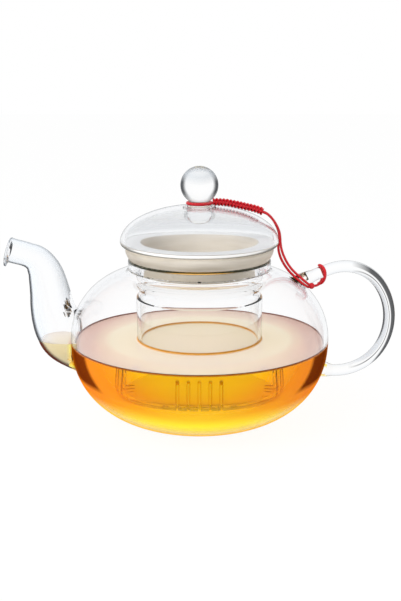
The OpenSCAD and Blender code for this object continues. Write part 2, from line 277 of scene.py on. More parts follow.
def spout_ring(s, t, sides=48, grow=0.0):
    """Ring at share s of the spout, t inside its outer surface and moved on by grow."""
    ds = 0.01
    way = (along(SPOUT_ROUTE, min(s + ds, 1)) - along(SPOUT_ROUTE, max(s - ds, 0))).normalized()
    side = Vector((-way[1], way[0]))
    turned = (s - 1 + LIP_SHARE) / (LIP_SHARE - LIP_ROUND)
    flare = LIP_FLARE * min(max(turned, 0), 1) ** 2
    r = (SPOUT_MOUTH_R + (SPOUT_ROOT_R - SPOUT_MOUTH_R)
         * (1 - min(s / TAPER_SHARE, 1) ** TAPER_POWER) + flare - t)
    middle = along(SPOUT_ROUTE, s) - side * LIP_DROOP * flare + way * grow
    ring = []
    for a in angles(sides):
        p = middle + side * r * math.cos(a)
        ring.append((-BODY_R - p[0], r * math.sin(a), BELLY_Z + p[1]))
    return ring


def spout_mesh():
    shares = [i / 80 * (1 - LIP_SHARE) for i in range(80)] + [
        1 - LIP_SHARE + (LIP_SHARE - LIP_ROUND) * k / 8 for k in range(9)]
    outer = [spout_ring(s, 0) for s in shares]
    inner = [spout_ring(s, SPOUT_WALL) for s in shares]
    rim = [spout_ring(1 - LIP_ROUND, SPOUT_WALL * (1 - math.cos(math.radians(a))) / 2,
                      grow=0.5 * SPOUT_WALL * math.sin(math.radians(a)))
           for a in (45, 90, 135)]
    return loft("spout_glass", outer + rim + inner[::-1], closed=True)


ROD_R, FOOT_R, FOOT_LEN, ROOT_LEN = 3.0, 4.2, 7.0, 6.0
HANDLE_START, HANDLE_CLIMB = (53.25, 73.4), 29.6
HANDLE_ARCS = [(82, 11.6), (22, 73.5), (31.7, 53.9), (27.1, 86.4)]


def handle_stations():
    """x, z, heading and run along the rod's middle, over its four arcs."""
    x, z, heading, run = HANDLE_START[0], HANDLE_START[1], HANDLE_CLIMB, 0.0
    out = [(x, z, heading, run)]
    for r, turn in HANDLE_ARCS:
        cx = x + r * math.sin(math.radians(heading))
        cz = z - r * math.cos(math.radians(heading))
        n = math.ceil(turn / 2.5)
        for i in range(1, n + 1):
            h = math.radians(heading - turn * i / n)
            out.append((cx - r * math.sin(h), cz + r * math.cos(h), math.degrees(h),
                        run + r * math.radians(turn) * i / n))
        x, z, heading, run = out[-1]
    return out


def handle_mesh():
    stations = handle_stations()
    total = stations[-1][3]

    def root(station, length):
        h = math.radians(station[2])
        return (station[0] + length * math.cos(h), station[1] + length * math.sin(h),
                station[2], station[3] + length)

    stations = ([root(stations[0], -ROOT_LEN * k / 4) for k in (4, 3, 2, 1)] + stations
                + [root(stations[-1], ROOT_LEN * k / 4) for k in (1, 2, 3, 4)])
    rings = []
    for x, z, heading, run in stations:
        foot = min(max(1 - min(run, total - run) / FOOT_LEN, 0), 1)
        r = ROD_R + (FOOT_R - ROD_R) * foot * foot * (3 - 2 * foot)
        h = math.radians(heading)
        rings.append([(x - r * math.cos(a) * math.sin(h), -r * math.sin(a),
                       z + r * math.cos(a) * math.cos(h)) for a in angles(36)])
    return loft("handle_glass", rings)


def ball(name, centre, radii, segments=32):
    bm = bmesh.new()
    bmesh.ops.create_uvsphere(bm, u_segments=segments, v_segments=segments // 2, radius=1)
    mesh = bpy.data.meshes.new(name)
    bm.to_mesh(mesh)
    bm.free()
    mesh.transform(Matrix.Translation(Vector(centre) * MM)
                   @ Matrix.Diagonal((radii[0] * MM, radii[1] * MM, radii[2] * MM, 1)))
    obj = bpy.data.objects.new(name, mesh)
    bpy.context.scene.collection.objects.link(obj)
    return obj


def x_cylinder(name, x0, x1, r, z, sides=64):
    """Solid cylinder along x, at height z."""
    return loft(name, [[(x, r * math.cos(a), z + r * math.sin(a)) for a in angles(sides)]
                       for x in (x0, x1)])


pot = bowl_mesh()
pot = boolean(pot, x_cylinder("hole", -75, -55, HOLE_R, TEA_Z), "DIFFERENCE")
spout = boolean(spout_mesh(), pot_core(WALL * 0.55), "DIFFERENCE")
pot = boolean(pot, spout, "UNION")
handle = boolean(handle_mesh(), pot_core(WALL * 0.45), "DIFFERENCE")
pot = boolean(pot, handle, "UNION")
smooth(pot, 35)
declare(pot, "pot", "clear_glass", "bowl", "neck", "spout", "handle")

# ---- Infuser ----------------------------------------------------------------

CONE_Z, CONE_TOP_R = RIM_Z - 8, NECK_BORE_R - 0.5
TUBE_BORE_R = TUBE_R - TUBE_WALL
COLLAR_R, COLLAR_FLANK, COLLAR_LIP_R, COLLAR_WALL = NECK_R + 1.3, 1.9, 1.8, 3.8
MENISCUS = 1.0
WET_Z = TEA_Z + MENISCUS
GROOVE_DROP, GROOVE_HALF, GROOVE_DEPTH = 23.2, 3.5, 1.6
GROOVE_Z = INFUSER_TOP - GROOVE_DROP
FLOOR_R, ABOVE_TEA = 14, 55   # radius of the flat bottom, and a level between tea and groove


def groove(r):
    """The rolled groove in a wall of radius r, from below."""
    return [(r - GROOVE_DEPTH * (1 + math.cos(math.pi * i / 10)) / 2,
             GROOVE_Z + GROOVE_HALF * i / 10) for i in range(-10, 11)]


def infuser_mesh():
    floor = INFUSER_Z + TUBE_WALL
    mouth_r = COLLAR_R - COLLAR_WALL
    flank = [(COLLAR_R - COLLAR_FLANK * (1 - math.sin(math.pi * i / 24)),
              COLLAR_Z + (COLLAR_H - COLLAR_LIP_R) * i / 12) for i in range(13)]
    profile = ([(0, INFUSER_Z), (FLOOR_R, INFUSER_Z)]
               + arc(TUBE_R - CORNER_R, INFUSER_Z + CORNER_R, CORNER_R, -90, 0, 12)
               + [(TUBE_R, TEA_Z - 0.8), (TUBE_R, WET_Z), (TUBE_R, ABOVE_TEA)]
               + groove(TUBE_R)
               + [(TUBE_R, CONE_Z), (TUBE_R + 0.8, (CONE_Z + RIM_Z - 1) / 2),
                  (CONE_TOP_R - 0.2, RIM_Z - 1.9), (CONE_TOP_R, RIM_Z - 1),
                  (CONE_TOP_R, COLLAR_Z)]
               + flank
               + arc(COLLAR_R - COLLAR_LIP_R, INFUSER_TOP - COLLAR_LIP_R, COLLAR_LIP_R,
                     0, 90, 8, 1)
               + [(mouth_r + 0.5, INFUSER_TOP), (mouth_r, INFUSER_TOP - 0.5),
                  (mouth_r, COLLAR_Z + 3.2), (CONE_TOP_R - TUBE_WALL, COLLAR_Z),
                  (CONE_TOP_R - TUBE_WALL, RIM_Z - 1), (TUBE_BORE_R, CONE_Z)]
               + groove(TUBE_BORE_R)[::-1]
               + [(TUBE_BORE_R, ABOVE_TEA), (TUBE_BORE_R, WET_Z), (TUBE_BORE_R, TEA_Z - 0.8)]
               + arc(TUBE_R - CORNER_R, INFUSER_Z + CORNER_R, CORNER_R - TUBE_WALL, 0, -90, 12)
               + [(FLOOR_R, floor), (0, floor)])
    return revolve("infuser_glass", profile)


def blades():
    """Twenty round saw cuts across the bottom corner, in four groups of five."""
    rise, reach = (TUBE_R, INFUSER_Z + SLIT_RISE), (TUBE_R - SLIT_REACH, INFUSER_Z)
    blade_r = 14.0
    dx, dz = rise[0] - reach[0], rise[1] - reach[1]
    half = math.hypot(dx, dz) / 2
    depth = math.sqrt(blade_r ** 2 - half ** 2)
    cx = (rise[0] + reach[0]) / 2 + depth * dz / (2 * half)
    cz = (rise[1] + reach[1]) / 2 - depth * dx / (2 * half)
    bars = []
    for group in range(4):
        turn = Matrix.Rotation(math.radians(90 * group), 4, "Z")
        for k in range(5):
            sides = [SLIT_PITCH * (k - 2) + side for side in (-SLIT_W / 2, SLIT_W / 2)]
            bars.append([[tuple(turn @ Vector((cx + blade_r * math.cos(a), y,
                                               cz + blade_r * math.sin(a)))) for a in angles(48)]
                         for y in sides])
    return lofts("blades", bars)


infuser = boolean(infuser_mesh(), blades(), "DIFFERENCE")
smooth(infuser)
declare(infuser, "infuser", "infuser_glass", "infuser", "collar")

# ---- Lid with its knob ------------------------------------------------------

PLUG_LEN, PLUG_TAPER = 15, 1.6
PLUG_R = CONE_TOP_R - TUBE_WALL - PLUG_GAP
PLUG_BORE_R = PLUG_R - LID_WALL
PLUG_END_R = TUBE_BORE_R - PLUG_GAP - PLUG_TAPER
PLUG_Z = FLANGE_Z - PLUG_LEN
BOSS_DROP = 9.0
STEM_R, BOSS_R, BOSS_Z = 5.2, 6.7, CROWN_Z - BOSS_DROP


def lid_mesh():
    def dome(t, first_r, n=40):
        turn = math.degrees(math.acos(first_r / (LID_R - t)))
        return [((LID_R - t) * math.cos(math.radians(turn * i / n)),
                 FLANGE_TOP + (DOME_H - t) * math.sin(math.radians(turn * i / n)))
                for i in range(n + 1)]

    stem_top = math.degrees(math.asin(STEM_R / BALL_R))
    knob = [(BALL_R * math.sin(math.radians(180 - stem_top) * i / 40),
             BALL_Z + BALL_R * math.cos(math.radians(180 - stem_top) * i / 40))
            for i in range(41)]
    knob[0] = (0, BALL_Z + BALL_R)
    outer = dome(0, BOSS_R + 0.8)[::-1]
    neck = [(STEM_R, outer[0][1] + 1.6), (STEM_R + 0.2, outer[0][1] + 1.0),
            (STEM_R + 0.7, outer[0][1] + 0.5), (BOSS_R - 0.1, outer[0][1] + 0.15)]
    inner = dome(LID_WALL, BOSS_R + 1.6)
    nub = [(BOSS_R + 0.8, inner[-1][1] - 0.05), (BOSS_R + 0.2, inner[-1][1] - 0.5),
           (BOSS_R, inner[-1][1] - 1.4), (BOSS_R - 0.3, BOSS_Z + 4.2),
           (BOSS_R - 0.9, BOSS_Z + 2.2), (BOSS_R - 2.2, BOSS_Z + 0.8), (BOSS_R - 4, BOSS_Z + 0.2),
           (0, BOSS_Z)]
    profile = (knob + neck + outer
               + arc(LID_R - LID_WALL, FLANGE_TOP, LID_WALL, 0, -90, 12, 1)
               + [(PLUG_R + 1.2, FLANGE_Z), (PLUG_R + 0.3, FLANGE_Z - 0.3),
                  (PLUG_R, FLANGE_Z - 1.2)]
               + arc(PLUG_END_R - LID_WALL / 2, PLUG_Z + LID_WALL / 2, LID_WALL / 2,
                     0, -180, 12)
               + [(PLUG_BORE_R, FLANGE_TOP - 1.2), (PLUG_BORE_R + 0.4, FLANGE_TOP - 0.4),
                  (PLUG_BORE_R + 1.4, FLANGE_TOP)]
               + inner + nub)
    return revolve("lid_glass", profile)


lid = lid_mesh()
smooth(lid)
declare(lid, "lid", "lid_glass", "lid", "plug", "knob")

# ---- Tea --------------------------------------------------------------------

INTO_WALL = 0.3   # how far the tea's skin lies inside the glass, so that light bends rightly


def tea_mesh():
    t = WALL - INTO_WALL
    belly = [p for p in lower_belly(t, 60) if p[1] < TEA_Z - 0.4]
    top_r = BODY_R - t - 0.05
    reach = 1.7

    def climb(r, way, order):
        """Tea drawn up a wall of radius r, on its inner (-1) or outer (1) side; order 1 starts at
        the wall and -1 ends there."""
        out = [(r + way * (reach * (i / 8) - INTO_WALL), TEA_Z + MENISCUS * (1 - i / 8) ** 2.2)
               for i in range(9)]
        return out if order > 0 else out[::-1]

    profile = (base_curve(t) + belly
               + climb(top_r - INTO_WALL, -1, 1)
               + [(r, TEA_Z) for r in (60, 54, 48, 42, 37)]
               + climb(TUBE_R, 1, -1) + climb(TUBE_BORE_R, -1, 1)
               + [(r, TEA_Z) for r in (26, 20, 14, 8)] + [(0, TEA_Z)])
    body = revolve("tea", profile)
    shares = [0.02 + 0.44 * i / 40 for i in range(41)]
    stem = loft("stem", [spout_ring(s, SPOUT_WALL - INTO_WALL) for s in shares])
    stem = boolean(stem, pot_core(INTO_WALL), "DIFFERENCE")
    stem = boolean(stem, x_cylinder("duct", -68, -62, HOLE_R + INTO_WALL, TEA_Z), "UNION")
    above = loft("above", [[(x, y, z) for x, y in ((-120, -80), (-40, -80), (-40, 80),
                                                   (-120, 80))] for z in (TEA_Z, 120)])
    return boolean(body, boolean(stem, above, "DIFFERENCE"), "UNION")


tea = tea_mesh()
smooth(tea)
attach(tea, "pot")

# ---- Cord -------------------------------------------------------------------

CORD_D, LOOP_D = 1.3, 1.6
FINE = 400   # points of a route before it is divided evenly


def tube(name, path, d, sides=12, closed=False, up=(0, 1, 0)):
    """Round tube along a path in millimetres, with a steady frame."""
    n = len(path)
    rings = []
    ref = Vector(up)
    for i in range(n):
        before = Vector(path[i - 1] if closed else path[max(i - 1, 0)])
        after = Vector(path[(i + 1) % n] if closed else path[min(i + 1, n - 1)])
        way = (after - before).normalized()
        side = way.cross(ref).normalized()
        ref = side.cross(way).normalized() if not closed else Vector(up)
        lift = way.cross(side)
        rings.append([tuple(Vector(path[i]) + d / 2 * (side * math.cos(a) + lift * math.sin(a)))
                      for a in angles(sides)])
    obj = loft(name, rings, closed)
    smooth(obj, 60)
    return obj


def resample(points, step):
    """Evenly spaced points along a smooth curve through points."""
    fine = [along(points, i / FINE) for i in range(FINE + 1)]
    runs = [0.0]
    for a, b in zip(fine[:-1], fine[1:]):
        runs.append(runs[-1] + (b - a).length)
    count = max(int(round(runs[-1] / step)), 2)
    out, i = [], 0
    for k in range(count + 1):
        at = runs[-1] * k / count
        while i < len(runs) - 2 and runs[i + 1] < at:
            i += 1
        share = (at - runs[i]) / max(runs[i + 1] - runs[i], 1e-9)
        out.append(fine[i].lerp(fine[i + 1], min(max(share, 0), 1)))
    return out


BRAID = [(6.7, 0, 114.4), (9.6, 0, 114.4), (13, 0, 114.2), (16.5, 0, 113.6), (20, 0, 112.9),
         (23.5, 0, 112.1), (27, 0, 111.3), (30, 0, 110.4), (32.2, 0, 109.4)]
FRONT_UPPER = [(31.9, -0.7, 109.5), (34.2, -0.5, 108.5), (36.1, -0.1, 106.9), (38, 0.5, 104.6),
               (39.6, 1.2, 101.9), (40.9, 1.9, 98.9), (41.5, 2.5, 95.9), (41.7, 2.8, 93.4)]
BACK_UPPER = [(31.9, 0.8, 109.5), (34.2, 1, 108.5), (36.1, 1.4, 106.9), (37.9, 2.1, 104.6),
              (39.4, 3, 101.9), (40.6, 3.8, 98.9), (41.2, 4.3, 95.9), (41.1, 4.5, 93.4)]
FRONT_LOWER = [(41.7, 2.8, 93.3), (42.1, 2.7, 90.6), (42.9, 2.2, 87.7), (44.1, 1.4, 84.9),
               (45.7, 0.4, 82.1), (47.5, -0.7, 79.8), (49.6, -2.1, 77.8), (51.5, -3.8, 76.4),
               (53.3, -5.2, 74.9), (55.3, -5.6, 73.3), (56.4, -5.3, 72.6)]
BACK_LOWER = [(41.1, 4.5, 93.3), (40.8, 4.4, 90.6), (41.2, 3.9, 87.6), (42.3, 3, 84.4),
              (44, 1.8, 81.4), (46.1, 0.2, 78.7), (48.1, -1.9, 76.9), (49.9, -3.8, 75.4),
              (52.3, -5.1, 73.6), (54.7, -5.2, 71.9), (56.1, -4.7, 71.3)]
TAIL = [(57.5, -4.5, 71.8), (60.1, -3.3, 71.7), (62.4, -1.2, 72.4)]
LOOP_AT, LOOP_UP = Vector((61.7, 0, 76.8)), Vector((0, 0, 4.8))
LOOP_FRONT, LOOP_BACK_SHIFT = Vector((2.6, -4.5, 0.8)), 5.2
NECK_LOOP_R, NECK_LOOP_Z = 6.05, 113.9
PLAIT_R, PLAIT_D, PLAIT_TURNS = 1.25, 1.5, 5

neck_loop = tube("cord_neck_loop_piece",
                 [(NECK_LOOP_R * math.cos(a), NECK_LOOP_R * math.sin(a), NECK_LOOP_Z)
                  for a in angles(48)], LOOP_D, closed=True, up=(0, 0, 1))
declare(neck_loop, "lid", "red_cord", "cord_neck_loop")


def braid_mesh():
    """Three strands plaited along the braid, each crossing over and under the other two."""
    path = resample(BRAID, 0.25)
    across = Vector((0, 1, 0))
    bars = []
    for strand_at in range(3):
        rings = []
        for i, centre in enumerate(path):
            a = 2 * math.pi * (PLAIT_TURNS * i / (len(path) - 1) + strand_at / 3)
            way = (path[min(i + 1, len(path) - 1)] - path[max(i - 1, 0)]).normalized()
            lift = across.cross(way).normalized()
            p = centre + PLAIT_R * (lift * math.sin(a) + across * 0.75 * math.sin(2 * a))
            rings.append([tuple(p + PLAIT_D / 2 * (lift * math.cos(b) + across * math.sin(b)))
                          for b in angles(10)])
        bars.append(rings)
    return lofts("cord_braid_plait", bars)


braid = braid_mesh()
smooth(braid, 60)
declare(braid, "lid", "red_cord", "cord_braid")


def strand(node, points):
    """One free strand of the cord, which stretches between two bodies."""
    path = resample(points, 0.45)
    obj = tube(node.replace("cord_", "cord_strand_"), path, CORD_D)
    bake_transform(obj)
    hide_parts(node)


def beside(points, y):
    """The same points at another y."""
    return [(x, y, z) for x, _, z in points]


knot = ball("cord_knot_piece", TAIL[0], (1.6, 1.6, 1.6))
smooth(knot)
declare(knot, "pot", "red_cord", "cord_knot")

handle_loop = tube("cord_handle_loop_piece",
                   [LOOP_AT + LOOP_UP * math.cos(a) + LOOP_FRONT * math.sin(a)
                    + Vector((max(-math.sin(a), 0) * LOOP_BACK_SHIFT, 0, 0)) for a in angles(48)],
                   LOOP_D, closed=True, up=LOOP_UP.cross(LOOP_FRONT))
declare(handle_loop, "pot", "red_cord", "cord_handle_loop")

strand("cord_front_upper", beside(BRAID[:-1], -0.7) + FRONT_UPPER)
strand("cord_back_upper", beside(BRAID[:-1], 0.7) + BACK_UPPER)
strand("cord_front_lower", FRONT_LOWER + TAIL)
strand("cord_back_lower", BACK_LOWER + [(57.6, -4.2, 71.6)] + TAIL[1:])

# ---- Materials --------------------------------------------------------------


class Nodes:
    """Short names for building the nodes of a material or a world."""

    def __init__(self, owner, output="ShaderNodeOutputMaterial"):
        owner.use_nodes = True
        self.owner = owner
        self.tree = owner.node_tree
        self.tree.nodes.clear()
        self.out = self.add(output)

    def add(self, kind, **values):
        node = self.tree.nodes.new(kind)
        for key, value in values.items():
            if key in node.inputs:
                node.inputs[key].default_value = value
            else:
                setattr(node, key, value)
        return node

    def put(self, value, socket):
        """Link an output to a socket, or set the socket to a value."""
        if isinstance(value, bpy.types.NodeSocket):
            self.tree.links.new(value, socket)
        else:
            socket.default_value = value

    def op(self, operation, a, b=None, kind="ShaderNodeMath"):
        node = self.add(kind, operation=operation)
        self.put(a, node.inputs[0])
        if b is not None:
            self.put(b, node.inputs[1])
        return node

    def shader(self, **values):
        node = self.add("ShaderNodeBsdfPrincipled")
        for key, value in values.items():
            node.inputs[key.replace("_", " ")].default_value = value
        return node

    def mixed(self, factor, a, b):
        """Shader a, with b over it by factor."""
        mix = self.add("ShaderNodeMixShader")
        self.put(factor, mix.inputs[0])
        self.put(a.outputs[0], mix.inputs[1])
        self.put(b.outputs[0], mix.inputs[2])
        return mix


def new_material(name):
    return Nodes(bpy.data.materials.new(name))


def ramp(n, value, stops):
    """Colour ramp over a 0 to 1 value, from [(position, colour or grey), ...]."""
    node = n.add("ShaderNodeValToRGB")
    elements = node.color_ramp.elements
    while len(elements) < len(stops):
        elements.new(0.5)
    for element, (position, colour) in zip(elements, stops):
        element.position = position
        element.color = (*colour, 1) if isinstance(colour, tuple) else (colour, colour, colour, 1)
    n.put(value, node.inputs["Fac"])
    return node.outputs["Color"]


def turned_away(n):
    """0 where the surface faces the eye, 1 at its outline."""
    return n.add("ShaderNodeLayerWeight", Blend=0.5).outputs["Facing"]


def here(n):
    """The place on the object, in its own frame, in metres."""
    return n.add("ShaderNodeTexCoord").outputs["Object"]


def geometry(n, output):
    return n.add("ShaderNodeNewGeometry").outputs[output]


def along_axis(n, vector, axis):
    split = n.add("ShaderNodeSeparateXYZ")
    n.put(vector, split.inputs[0])
    return split.outputs[axis]


def place(n, axis, low, high):
    """0 to 1 along an axis of the object, between two places in millimetres."""
    span = n.add("ShaderNodeMapRange")
    span.inputs["From Min"].default_value = low * MM
    span.inputs["From Max"].default_value = high * MM
    n.put(along_axis(n, here(n), axis), span.inputs["Value"])
    return span.outputs[0]


def rising(n, axis, low, high):
    return ramp(n, place(n, axis, low, high), [(0.0, 0.0), (1.0, 1.0)])


def falling(n, axis, low, high):
    return ramp(n, place(n, axis, low, high), [(0.0, 1.0), (1.0, 0.0)])


def between(n, axis, low, high, soft=0.5):
    """1 between two places along an axis, in millimetres."""
    edge = 2 * soft / (high - low + 2 * soft)
    return ramp(n, place(n, axis, low - soft, high + soft),
                [(0.0, 0.0), (edge, 1.0), (1 - edge, 1.0), (1.0, 0.0)])


def facing_to(n, direction, stops):
    """Ramp over how squarely the surface faces a fixed direction, 0 for edge on to 1 for full."""
    dot = n.op("DOT_PRODUCT", geometry(n, "Normal"), Vector(direction).normalized(),
               "ShaderNodeVectorMath")
    return ramp(n, dot.outputs["Value"], stops)


def slope(n, axis, stops):
    """Ramp over the size of the normal's part along an axis."""
    part = along_axis(n, geometry(n, "Normal"), axis)
    return ramp(n, n.op("ABSOLUTE", part).outputs[0], stops)


def outside(n):
    """1 where light comes to the surface from the air, 0 from within."""
    return ramp(n, geometry(n, "Backfacing"), [(0.0, 1.0), (1.0, 0.0)])


def blended(n, mode, factor, a, b):
    mix = n.add("ShaderNodeMix", data_type="RGBA", blend_type=mode)
    for socket, value in (("Factor", factor), ("A", a), ("B", b)):
        n.put((*value, 1) if isinstance(value, tuple) else value, mix.inputs[socket])
    return mix.outputs["Result"]


def times(n, *factors):
    """Product of factors, each a number or a node's output."""
    amount = (1, 1, 1)
    for factor in factors:
        factor = (factor,) * 3 if isinstance(factor, float) else factor
        amount = blended(n, "MULTIPLY", 1.0, amount, factor)
    return amount


def without(n, mask):
    return blended(n, "MIX", mask, (1, 1, 1), (0, 0, 0))


def let_light_through(n, shader, colour):
    """Lamps shine through the surface instead of being stopped by it."""
    lamp = n.add("ShaderNodeLightPath").outputs["Is Shadow Ray"]
    clear = n.add("ShaderNodeBsdfTransparent", Color=(*colour, 1))
    n.put(n.mixed(lamp, shader, clear).outputs[0], n.out.inputs["Surface"])


def layered(n, shader, layers):
    """Matt layers over a shader, each (colour, factors to multiply), all painted light and shade.
    Thick glass shows a painted reflection of the dark room along its outlines, and wet glass shows
    the tea with painted glow and painted shade."""
    for colour, factors in layers:
        shade = n.add("ShaderNodeBsdfDiffuse", Color=(*colour, 1))
        shader = n.mixed(times(n, *factors), shader, shade)
    return shader


def clear_glass(name, tint, layers=None, ior=1.47, gloss=0.4):
    """Glass whose tint follows a ramp from face on to outline, darkening towards the outline as
    painted shade, with matt layers over it.
    """
    n = new_material(name)
    shader = n.shader(Transmission_Weight=1.0, Roughness=0.0, IOR=ior,
                      Specular_Tint=(gloss, gloss, gloss, 1))
    n.put(ramp(n, turned_away(n), tint), shader.inputs["Base Color"])
    let_light_through(n, layered(n, shader, layers(n) if layers else []), (0.99, 0.99, 0.99))
    return n.owner


def frosted_glass(name, colour, dark, behind=0.35, layers=None):
    """Ground glass between two tones, with a share of the light that falls on it from behind."""
    n = new_material(name)
    stretch = n.add("ShaderNodeMapping", Scale=(25, 25, 260))
    n.put(here(n), stretch.inputs["Vector"])
    noise = n.add("ShaderNodeTexNoise", Scale=1.6, Detail=4.0, Roughness=0.55)
    n.put(stretch.outputs[0], noise.inputs["Vector"])
    shader = n.shader(Roughness=0.4, IOR=1.47)
    n.put(ramp(n, noise.outputs["Fac"], [(0.34, dark), (0.66, colour)]),
          shader.inputs["Base Color"])
    bump = n.add("ShaderNodeBump", Strength=0.15, Distance=0.0002)
    n.put(noise.outputs["Fac"], bump.inputs["Height"])
    n.put(bump.outputs[0], shader.inputs["Normal"])
    glow = n.add("ShaderNodeBsdfTranslucent", Color=(*colour, 1))
    mix = n.mixed(behind, shader, glow)
    let_light_through(n, layered(n, mix, layers(n) if layers else []), (0.96, 0.95, 0.94))
    return n.owner


# Painted shade: COOL greys glass towards its outline, and DARK and SHADE are matt layers laid along
# outlines and in streaks.
COOL, DARK, SHADE = (0.80, 0.83, 0.87), (0.018, 0.02, 0.023), (0.10, 0.11, 0.12)
# Tea colours with painted light and shade: a pale painted reflection on the open surface, rosy over
# its outer ring, brown painted shade and gold painted light where it is drawn up the glass, a dark
# painted shade line along it, paler tea in the spout as painted light, amber and yellow painted
# light and shade on the wet glass, a painted glow low down, dark painted shade along upright walls,
# and a tint reddening towards the outline as painted shade.
TEA_REFLECTION, TEA_ROSE, TEA_BROWN = (1.0, 0.90, 0.84), (0.86, 0.54, 0.45), (0.20, 0.035, 0.008)
TEA_GOLD, TEA_LINE, TEA_STEM = (0.72, 0.33, 0.04), (0.42, 0.10, 0.02), (1.0, 0.84, 0.60)
TEA_AMBER, TEA_YELLOW, TEA_GLOW = (0.84, 0.20, 0.001), (0.95, 0.52, 0.005), (1.0, 0.9, 0.04)
TEA_SHADE = (0.11, 0.012, 0.001)
TEA_SIDES = [(0.015, 1.0), (0.06, (1, 0.84, 0.7)), (0.12, (0.98, 0.40, 0.2)),
             (0.18, (0.95, 0.32, 0.1)), (0.25, (0.8, 0.3, 0.2))]
SPOUT_SEAM = (-68, -66)   # x where the bowl's tea passes into the spout's
# Painted reflections of the room in the spout, rod, knob and dome, and painted shade along the
# lid's outline and rim.
SPOUT_REFLECTION, ROD_REFLECTION, KNOB_REFLECTION = (0.66, 0.72, 0.79), (0.50, 0.54, 0.60), (0.42, 0.46, 0.50)
LID_REFLECTION, LID_OUTLINE_SHADE, LID_EDGE_SHADE = (0.62, 0.66, 0.72), (0.33, 0.36, 0.40), (0.10, 0.095, 0.075)
# Painted shade of the tea along the saw cuts and the wet tube's outline, painted light at the
# tube's corner and waterline ring, and the gold of the fused-on spots.
CUT_SHADE, TUBE_SHADE, SLIT_AMBER = (0.30, 0.10, 0.012), (0.40, 0.13, 0.015), (0.62, 0.25, 0.01)
CORNER_LIGHT, RING_GOLD, WELD_GOLD = (1.0, 0.95, 0.72), (0.72, 0.36, 0.05), (0.42, 0.24, 0.06)
# The cord's darker red sits in the low bands of its twist as painted shade in its grooves.
CORD_DARK, CORD_RED = (0.36, 0.001, 0.006, 1), (0.74, 0.004, 0.016, 1)


def tea_material():
    """Tea: amber where seen through the glass, its tint reddening towards the outline as painted
    shade; on its open surface a pale painted reflection, rosy over its outer ring; painted shade in
    brown and painted light in gold where it is drawn up the glass, a dark painted shade line along
    it, and paler tea in the spout as painted light."""
    n = new_material("tea")
    absorb = n.add("ShaderNodeVolumeAbsorption", Density=60.0, Color=(0.999, 0.925, 0.0, 1))
    n.put(absorb.outputs[0], n.out.inputs["Volume"])
    top = times(n, slope(n, "Z", [(0.2, 0.0), (0.3, 1.0)]),
                rising(n, "Z", TEA_Z - 0.1, TEA_Z - 0.02))
    side, front = without(n, top), outside(n)
    spout_side = falling(n, "X", *SPOUT_SEAM)
    edge = blended(n, "MIX", slope(n, "Z", [(0.25, 1.0), (0.6, 0.0)]),
                   (1, 1, 1), ramp(n, turned_away(n), TEA_SIDES))
    seen = blended(n, "MIX", front, (1, 1, 0.85), edge)
    body = n.shader(Transmission_Weight=1.0, Roughness=0.0, IOR=1.33,
                    Specular_Tint=(0.1, 0.1, 0.1, 1))
    n.put(blended(n, "MIX", spout_side, seen, (1, 0.97, 0.95)), body.inputs["Base Color"])
    surface = n.shader(Transmission_Weight=1.0, Roughness=0.0, IOR=1.33,
                       Base_Color=(1, 0.93, 0.9, 1))
    flat = n.op("MULTIPLY", here(n), (1000 / BODY_R, 1000 / BODY_R, 0), "ShaderNodeVectorMath")
    far = n.op("LENGTH", flat.outputs[0], kind="ShaderNodeVectorMath").outputs["Value"]
    outer = times(n, ramp(n, far, [(0.69, 0.0), (0.75, 0.45), (0.95, 1.0)]),
                  ramp(n, place(n, "Y", -58, 62),
                       [(0.0, 0.0), (0.33, 1.0), (0.6, 1.0), (1.0, 0.55)]),
                  without(n, spout_side))
    by_tube = ramp(n, far, [(0.6, 1.0), (0.7, 0.0)])
    drawn = ramp(n, place(n, "Z", TEA_Z + 0.15, TEA_Z + 0.5), [(0.0, 0.0), (1.0, 0.95)])
    # Over the tea: a painted reflection, a rosy outer ring, painted shade and painted light where
    # it is drawn up the glass, a painted shade line, and painted light on the spout's tea.
    matt = layered(n, n.mixed(top, body, surface), [
        (TEA_REFLECTION, [top, front, 0.76, ramp(n, turned_away(n), [(0.1, 0.35), (0.6, 1.0)])]),
        (TEA_ROSE, [top, front, outer, 0.9]),
        (TEA_BROWN, [top, front, drawn, without(n, by_tube)]),
        (TEA_GOLD, [top, front, drawn, by_tube]),
        (TEA_LINE, [side, front, between(n, "Z", TEA_Z + 0.05, TEA_Z + 0.8, 0.1), 0.85]),
        (TEA_STEM, [spout_side, side, front, 0.75])])
    let_light_through(n, matt, (1.0, 0.86, 0.5))
    return n.owner


def cord_material():
    """Twisted red yarn with a slight sheen, its darker red in the low bands of the twist as painted
    shade in the grooves.
    """
    n = new_material("red_cord")
    wave = n.add("ShaderNodeTexWave", Scale=900, Distortion=1.5, Detail=2.0,
                 bands_direction="DIAGONAL")
    n.put(here(n), wave.inputs["Vector"])
    shader = n.shader(Roughness=0.45, Sheen_Weight=0.1, Sheen_Roughness=0.4,
                      Sheen_Tint=(1, 0.5, 0.5, 1))
    mix = n.add("ShaderNodeMix", data_type="RGBA")
    for value, socket in ((wave.outputs["Fac"], "Factor"), (CORD_DARK, "A"), (CORD_RED, "B")):
        n.put(value, mix.inputs[socket])
    n.put(mix.outputs["Result"], shader.inputs["Base Color"])
    bump = n.add("ShaderNodeBump", Strength=0.4, Distance=0.00015)
    n.put(wave.outputs["Fac"], bump.inputs["Height"])
    n.put(bump.outputs[0], shader.inputs["Normal"])
    n.put(shader.outputs[0], n.out.inputs["Surface"])
    return n.owner


